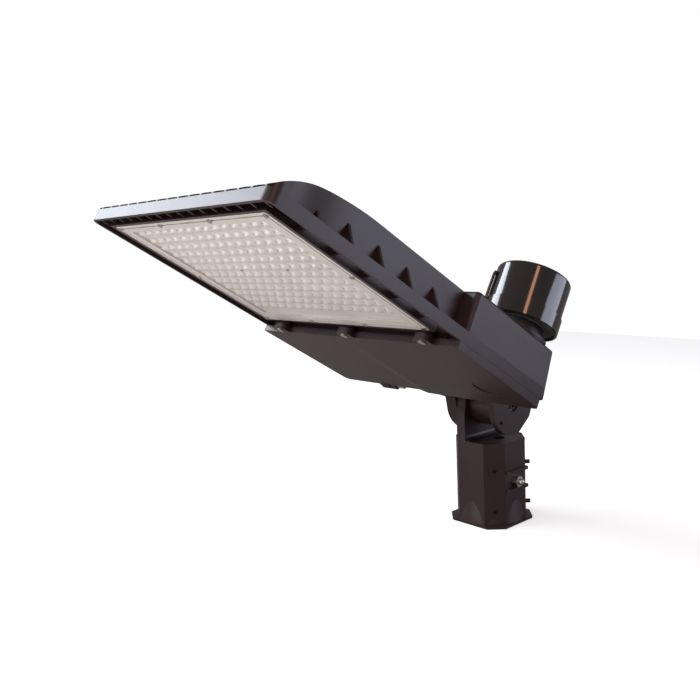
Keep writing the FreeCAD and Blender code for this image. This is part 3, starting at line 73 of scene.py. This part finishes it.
# ---- materials ----
class Nodes:
    """Small helper around one material's node tree."""

    def __init__(self, name):
        self.material = bpy.data.materials.new(name)
        self.material.use_nodes = True
        self.tree = self.material.node_tree
        self.shader = self.tree.nodes["Principled BSDF"]
        self.place = self.tree.nodes.new("ShaderNodeTexCoord").outputs["Object"]

    def add(self, kind, **values):
        node = self.tree.nodes.new("ShaderNode" + kind)
        for key, value in values.items():
            if key in node.inputs:
                node.inputs[key].default_value = value
            else:
                setattr(node, key, value)
        return node

    def link(self, a, b):
        self.tree.links.new(a, b)

    def noise(self, scale, detail=4.0, rough=0.55, stretch=(1, 1, 1)):
        mapping = self.add("Mapping")
        mapping.inputs["Scale"].default_value = stretch
        self.link(self.place, mapping.inputs["Vector"])
        node = self.add("TexNoise", Scale=scale, Detail=detail, Roughness=rough)
        self.link(mapping.outputs["Vector"], node.inputs["Vector"])
        return node.outputs["Fac"]

    def ramp(self, source, stops):
        node = self.add("ValToRGB")
        ramp = node.color_ramp
        while len(ramp.elements) < len(stops):
            ramp.elements.new(0.5)
        for element, (at, color) in zip(ramp.elements, stops):
            element.position = at
            element.color = (*color, 1.0)
        self.link(source, node.inputs["Fac"])
        return node.outputs["Color"]

    def bump(self, source, strength, distance, after=None):
        node = self.add("Bump", Strength=strength, Distance=distance)
        self.link(source, node.inputs["Height"])
        if after is not None:
            self.link(after, node.inputs["Normal"])
        return node.outputs["Normal"]

    def remap(self, source, low, high):
        node = self.add("MapRange")
        node.inputs["To Min"].default_value = low
        node.inputs["To Max"].default_value = high
        self.link(source, node.inputs["Value"])
        return node.outputs["Result"]

    def finish(self, color=None, rough=None, normal=None, **fixed):
        if color is not None:
            if isinstance(color, tuple):
                self.shader.inputs["Base Color"].default_value = (*color, 1.0)
            else:
                self.link(color, self.shader.inputs["Base Color"])
        if rough is not None:
            if isinstance(rough, float):
                self.shader.inputs["Roughness"].default_value = rough
            else:
                self.link(rough, self.shader.inputs["Roughness"])
        if normal is not None:
            self.link(normal, self.shader.inputs["Normal"])
        for key, value in fixed.items():
            self.shader.inputs[key.replace("_", " ")].default_value = value
        return self.material


def powder_coat():
    m = Nodes("bronze_powder_coat")
    cloud = m.noise(9.0, 3.0)
    color = m.ramp(cloud, [(0.3, (0.026, 0.0125, 0.0145)), (0.7, (0.032, 0.0160, 0.0175))])
    peel = m.noise(900.0, 2.0)
    grain = m.noise(2600.0, 2.0)
    normal = m.bump(grain, 0.10, 0.0002, m.bump(peel, 0.16, 0.0004))
    return m.finish(color, m.remap(cloud, 0.34, 0.42), normal, IOR=1.5)


def optic_plastic():
    m = Nodes("moulded_optic")
    cloud = m.noise(14.0, 3.0)
    color = m.ramp(cloud, [(0.3, (0.60, 0.56, 0.53)), (0.7, (0.68, 0.645, 0.61))])
    normal = m.bump(m.noise(700.0, 2.0), 0.08, 0.0003)
    return m.finish(color, m.remap(cloud, 0.16, 0.24), normal, IOR=1.49, Coat_Weight=0.3, Coat_Roughness=0.08)


# Flat-toned plastic: gives the painted shade and the painted highlight on the lenslet ridges, and the dark colour
# of the locating pins.
def flat_tone_plastic(name, dark, light, rough):
    m = Nodes(name)
    cloud = m.noise(160.0, 2.0)
    tone = m.ramp(cloud, [(0.3, dark), (0.7, light)])
    return m.finish(tone, rough, m.bump(m.noise(900.0, 2.0), 0.06, 0.0002), IOR=1.49)


def metal(name, color, rough, streak=(1, 1, 1), scale=1200.0):
    m = Nodes(name)
    cloud = m.noise(60.0, 3.0)
    dark = tuple(c * 0.88 for c in color)
    tone = m.ramp(cloud, [(0.3, dark), (0.7, color)])
    normal = m.bump(m.noise(scale, 3.0, 0.6, streak), 0.12, 0.0002)
    return m.finish(tone, m.remap(cloud, rough * 0.85, rough * 1.2), normal, Metallic=1.0)


def plastic(name, color, rough, grain=1400.0, coat=0.0):
    m = Nodes(name)
    cloud = m.noise(30.0, 3.0)
    tone = m.ramp(cloud, [(0.3, tuple(c * 0.9 for c in color)), (0.7, color)])
    normal = m.bump(m.noise(grain, 2.0), 0.10, 0.0002)
    return m.finish(tone, m.remap(cloud, rough * 0.9, rough * 1.1), normal, Coat_Weight=coat, Coat_Roughness=0.05)


def gloss_cap():
    m = Nodes("gloss_cap")
    cloud = m.noise(22.0, 2.0)
    tone = m.ramp(cloud, [(0.3, (0.012, 0.007, 0.007)), (0.7, (0.018, 0.010, 0.010))])
    normal = m.bump(m.noise(90.0, 2.0), 0.03, 0.0004)
    return m.finish(tone, m.remap(cloud, 0.10, 0.14), normal, IOR=1.55, Coat_Weight=0.6, Coat_Roughness=0.04)


COAT = powder_coat()
OPTIC = optic_plastic()
# Dark plastic: painted shade on one ridge of each lenslet, standing in for the dark tick of shade on its left
# shoulder; also the real dark colour of the locating pins.
DARK_PIN_AND_PAINTED_SHADE = flat_tone_plastic("dark_pin_and_painted_shade", (0.07, 0.062, 0.06), (0.11, 0.10, 0.095), 0.3)
# Pale glossy plastic on one ridge of each lenslet: a painted highlight standing in for the glint of light on the
# lenslet.
PAINTED_HIGHLIGHT_PLASTIC = flat_tone_plastic("painted_highlight", (0.86, 0.85, 0.85), (0.92, 0.91, 0.91), 0.12)
ZINC = metal("zinc_plate", (0.62, 0.62, 0.60), 0.26)
BLACK_STEEL = metal("blackened_steel", (0.055, 0.052, 0.052), 0.38)
CASE = metal("plain_aluminium", (0.70, 0.70, 0.70), 0.35, (1, 8, 1))
BRASS = metal("brass_strip", (0.72, 0.52, 0.22), 0.3)
CAP = gloss_cap()
GREY = plastic("grey_plastic", (0.16, 0.16, 0.17), 0.5)
BLACK = plastic("black_plastic", (0.018, 0.018, 0.018), 0.45)
BOARD = plastic("white_board", (0.72, 0.72, 0.70), 0.4)
CHIP = plastic("phosphor", (0.75, 0.55, 0.12), 0.3)
RUBBER = plastic("seal_rubber", (0.025, 0.025, 0.025), 0.7)
SILICONE = plastic("grey_silicone", (0.28, 0.28, 0.28), 0.6)
LEAD = plastic("lead_insulation", (0.70, 0.70, 0.70), 0.4)

SLOT_MATERIALS = {
    "bronze_coat": COAT, "lens_clear": OPTIC, "zinc": ZINC, "black_steel": BLACK_STEEL, "cap_black": CAP,
    "grey_plastic": GREY, "black_plastic": BLACK, "board_white": BOARD, "chip_yellow": CHIP, "driver_metal": CASE,
    "seal_rubber": RUBBER, "seal_grey": SILICONE, "contact_brass": BRASS, "lead_white": LEAD}

NODE_MATERIALS = {"receptacle_screws": BLACK_STEEL, "pivot_bolt": BLACK_STEEL}

for part in frame["record"]["subparts"]:
    data = nodes[part["node"]].data
    data.materials.clear()
    data.materials.append(NODE_MATERIALS.get(part["node"], SLOT_MATERIALS[part["material_slot"]]))


# ---- edges of the castings catch the light ----
BEVEL_ANGLE = math.radians(35.0)
BEVEL_WIDTHS = {
    "housing": 0.0006, "driver_cover": 0.0006, "slip_fitter": 0.0007, "mount_bracket": 0.0007, "cap_shell": 0.0005,
    "receptacle": 0.0003, "pivot_bolt": 0.0003, "tenon_lock_nut": 0.0003, "cover_screws": 0.0003,
    "lens_plate": 0.0003}


def soften(name, width):
    bevel = nodes[name].modifiers.new("edge", "BEVEL")
    bevel.width = width
    bevel.segments = 2
    bevel.limit_method = "ANGLE"
    bevel.angle_limit = BEVEL_ANGLE
    bevel.harden_normals = True


# ---- optic array ----
def mesh_object(name, bm, material, matrix, body, smooth=True):
    data = bpy.data.meshes.new(name)
    bm.to_mesh(data)
    bm.free()
    data.transform(matrix)
    data.materials.append(material)
    for face in data.polygons:
        face.use_smooth = smooth
    piece = bpy.data.objects.new(name, data)
    scene.collection.objects.link(piece)
    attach(piece, body)
    return piece


LENSLET_ROWS, LENSLET_COLUMNS = 12, 15
LENSLET_PITCH_U, LENSLET_PITCH_W = 14.0, 14.8
LENSLET_FIRST = 35.0
LENSLET_HEIGHT = 2.3
LENSLET_HALF_W, LENSLET_HALF_U = 6.5, 6.3
LENSLET_RINGS = (1.0, 0.84, 0.68, 0.52, 0.36, 0.18)
LENSLET_STEPS = 18
FIELD_LEVEL = 2.7
# Material slots of the optic array: painted shade, then painted highlight.
PAINTED_SHADE_SLOT, PAINTED_HIGHLIGHT_SLOT = 1, 2
SLIVER_STEPS = 4
SLIVER_SINK = -0.2
PIN_PLACES = ((-31.5, 111.5), (41.4, 111.5))
PIN_PROFILE = ((1.3, 0.1), (1.3, -0.5), (0.9, -0.7))
PIN_STEPS = 16


def lenslet_height(x, y):
    """Height of the moulded dome over the field, for a place in units of its half width."""
    r = math.hypot(x, y)
    return LENSLET_HEIGHT * (0.5 + 0.5 * math.cos(math.pi * r)) ** 0.8 if r < 1 else 0.0


def dome_point(cx, cy, x, y, lift=0.0):
    """Place on a dome's surface, or the lift outside it."""
    return (cx + LENSLET_HALF_W * x, cy + LENSLET_HALF_U * y, FIELD_LEVEL - lenslet_height(x, y) - lift)


def add_sliver(bm, cx, cy, start, end, width, lift, material):
    """A thin ridge that follows the dome from start to end."""
    sections = []
    dx, dy = end[0] - start[0], end[1] - start[1]
    length = math.hypot(dx, dy)
    sx, sy = -dy / length * width / 2, dx / length * width / 2
    for k in range(SLIVER_STEPS + 1):
        t = k / SLIVER_STEPS
        x, y = start[0] + dx * t, start[1] + dy * t
        taper = 0.35 + 0.65 * math.sin(math.pi * (0.15 + 0.7 * t))
        ax, ay = sx * taper, sy * taper
        sections.append([bm.verts.new(dome_point(cx, cy, x + ax, y + ay, SLIVER_SINK)),
                         bm.verts.new(dome_point(cx, cy, x + ax * 0.8, y + ay * 0.8, lift)),
                         bm.verts.new(dome_point(cx, cy, x - ax * 0.8, y - ay * 0.8, lift)),
                         bm.verts.new(dome_point(cx, cy, x - ax, y - ay, SLIVER_SINK))])
    for a, b in zip(sections, sections[1:]):
        for k in range(3):
            bm.faces.new((a[k], a[k + 1], b[k + 1], b[k])).material_index = material
    bm.faces.new(sections[0]).material_index = material
    bm.faces.new(sections[-1][::-1]).material_index = material


def add_lenslet(bm, cx, cy):
    """One dome, dimpled at its tip, with a ridge in painted shade and a ridge in painted highlight on its left
    shoulder.
    """
    rings = []
    for reach in LENSLET_RINGS:
        ring = []
        for k in range(LENSLET_STEPS):
            a = 2 * math.pi * k / LENSLET_STEPS
            ring.append(bm.verts.new(dome_point(cx, cy, reach * math.cos(a), reach * math.sin(a))))
        rings.append(ring)
    tip = bm.verts.new(dome_point(cx, cy, 0.0, 0.0, -0.15))
    for outer, inner in zip(rings, rings[1:]):
        for k in range(LENSLET_STEPS):
            j = (k + 1) % LENSLET_STEPS
            bm.faces.new((outer[k], inner[k], inner[j], outer[j]))
    for k in range(LENSLET_STEPS):
        bm.faces.new((rings[-1][k], tip, rings[-1][(k + 1) % LENSLET_STEPS]))
    # Dark ridge on the left shoulder: painted shade.
    add_sliver(bm, cx, cy, (-0.52, -0.44), (-0.30, 0.04), 0.20, 0.30, PAINTED_SHADE_SLOT)
    # Pale ridge beside it: a painted highlight.
    add_sliver(bm, cx, cy, (-0.26, -0.40), (-0.08, 0.02), 0.16, 0.25, PAINTED_HIGHLIGHT_SLOT)


def optic_array():
    """Rows of oblong lenslets moulded on the field of the plate, each with its two small prism ridges, one in
    painted shade and one in painted highlight.
    """
    bm = bmesh.new()
    for row in range(LENSLET_ROWS):
        for column in range(LENSLET_COLUMNS):
            cx = (column - (LENSLET_COLUMNS - 1) / 2) * LENSLET_PITCH_W
            add_lenslet(bm, cx, LENSLET_FIRST + row * LENSLET_PITCH_U)
    bmesh.ops.recalc_face_normals(bm, faces=bm.faces)
    piece = mesh_object("lens_optics", bm, OPTIC, HEAD, "head")
    # Slot 1 takes the painted shade, slot 2 the painted highlight.
    piece.data.materials.append(DARK_PIN_AND_PAINTED_SHADE)
    piece.data.materials.append(PAINTED_HIGHLIGHT_PLASTIC)


def lens_pins():
    """Two small dark locating pins that show through the field."""
    bm = bmesh.new()
    for x, y in PIN_PLACES:
        rings = []
        for radius, drop in PIN_PROFILE:
            angles = [a * 2 * math.pi / PIN_STEPS for a in range(PIN_STEPS)]
            rings.append([bm.verts.new((x + radius * math.cos(a), y + radius * math.sin(a), FIELD_LEVEL + drop))
                          for a in angles])
        for a, b in zip(rings, rings[1:]):
            for k in range(PIN_STEPS):
                j = (k + 1) % PIN_STEPS
                bm.faces.new((a[k], b[k], b[j], a[j]))
        bm.faces.new(rings[-1])
    bmesh.ops.recalc_face_normals(bm, faces=bm.faces)
    mesh_object("lens_pins", bm, DARK_PIN_AND_PAINTED_SHADE, HEAD, "head", False)


# ---- stage and light ----
FLOOR_BOUNCE = (0.20, 0.165, 0.14)
FLOOR_PALE = (0.86, 0.86, 0.86)
FLOOR_GLOW = 0.55
FLOOR_GLOSS = 0.1
FLOOR_REACH = 1.7
FLOOR_DROP = 0.0005
WORLD_LIGHT = (0.92, 0.86, 0.86)
WORLD_POWER = 0.26


def stage_material():
    """Pale floor: white with the object's shadow for the camera and glass, duller in what it sends back."""
    m = Nodes("pale_floor")
    path = m.add("LightPath")
    seen = m.add("Math", operation="MAXIMUM")
    m.link(path.outputs["Is Camera Ray"], seen.inputs[0])
    m.link(path.outputs["Is Transmission Ray"], seen.inputs[1])
    gloss = m.add("Math", operation="MULTIPLY")
    m.link(path.outputs["Is Glossy Ray"], gloss.inputs[0])
    gloss.inputs[1].default_value = FLOOR_GLOSS
    share = m.add("Math", operation="ADD")
    m.link(seen.outputs[0], share.inputs[0])
    m.link(gloss.outputs[0], share.inputs[1])
    m.finish(FLOOR_BOUNCE, 0.9, Specular_IOR_Level=0.0)
    pale = m.add("BsdfDiffuse", Color=(*FLOOR_PALE, 1))
    glow = m.add("Emission", Strength=FLOOR_GLOW)
    bright = m.add("AddShader")
    m.link(pale.outputs[0], bright.inputs[0])
    m.link(glow.outputs[0], bright.inputs[1])
    mix = m.add("MixShader")
    m.link(share.outputs[0], mix.inputs[0])
    m.link(m.shader.outputs[0], mix.inputs[1])
    m.link(bright.outputs[0], mix.inputs[2])
    m.link(mix.outputs[0], m.tree.nodes["Material Output"].inputs["Surface"])
    return m.material


def set_stage():
    bm = bmesh.new()
    bmesh.ops.create_grid(bm, x_segments=1, y_segments=1, size=FLOOR_REACH)
    data = bpy.data.meshes.new("floor")
    bm.to_mesh(data)
    bm.free()
    floor = bpy.data.objects.new("floor", data)
    floor.location = (0, 0, -FLOOR_DROP)
    scene.collection.objects.link(floor)
    data.materials.append(stage_material())


def softbox(name, place, target, size, power, color=(1, 1, 1)):
    data = bpy.data.lights.new(name, "AREA")
    data.shape = "RECTANGLE"
    data.size, data.size_y = size
    data.energy = power
    data.color = color
    lamp = bpy.data.objects.new(name, data)
    scene.collection.objects.link(lamp)
    aim = (Vector(target) - Vector(place)).to_track_quat("-Z", "Y")
    lamp.matrix_world = Matrix.Translation(place) @ aim.to_matrix().to_4x4()
    return lamp


def set_world():
    world = bpy.data.worlds.new("studio")
    scene.world = world
    world.use_nodes = True
    tree = world.node_tree
    tree.nodes.clear()
    output = tree.nodes.new("ShaderNodeOutputWorld")
    shown = tree.nodes.new("ShaderNodeBackground")
    shown.inputs["Color"].default_value = (1, 1, 1, 1)
    shown.inputs["Strength"].default_value = 1.0
    light = tree.nodes.new("ShaderNodeBackground")
    light.inputs["Color"].default_value = (*WORLD_LIGHT, 1)
    light.inputs["Strength"].default_value = WORLD_POWER
    path = tree.nodes.new("ShaderNodeLightPath")
    seen = tree.nodes.new("ShaderNodeMath")
    seen.operation = "MAXIMUM"
    tree.links.new(path.outputs["Is Camera Ray"], seen.inputs[0])
    tree.links.new(path.outputs["Is Transmission Ray"], seen.inputs[1])
    mix = tree.nodes.new("ShaderNodeMixShader")
    tree.links.new(seen.outputs[0], mix.inputs[0])
    tree.links.new(light.outputs[0], mix.inputs[1])
    tree.links.new(shown.outputs[0], mix.inputs[2])
    tree.links.new(mix.outputs[0], output.inputs["Surface"])


set_camera()
for name, width in BEVEL_WIDTHS.items():
    soften(name, width)
optic_array()
lens_pins()
set_stage()
set_world()
softbox("left", (-1.45, -1.10, 1.25), (0.02, -0.28, 0.26), (1.9, 0.9), 44.0, (0.86, 0.92, 1.0))
softbox("left_front", (0.05, -1.95, 1.32), (0.05, -0.20, 0.28), (1.2, 0.8), 11.0, (0.88, 0.93, 1.0))
softbox("right_rear", (1.70, 1.15, 0.42), (0.05, -0.20, 0.22), (1.7, 0.8), 13.0, (0.76, 0.80, 1.0))
softbox("strip", (1.45, -0.90, 1.24), (0.08, -0.15, 0.28), (0.22, 1.0), 4.0, (1.0, 0.48, 0.26))
under = softbox("under", (0.0, -0.52, 0.01), (0.0, -0.40, 0.35), (0.60, 0.42), 3.1, (1.0, 0.97, 0.97))
under.visible_camera = False
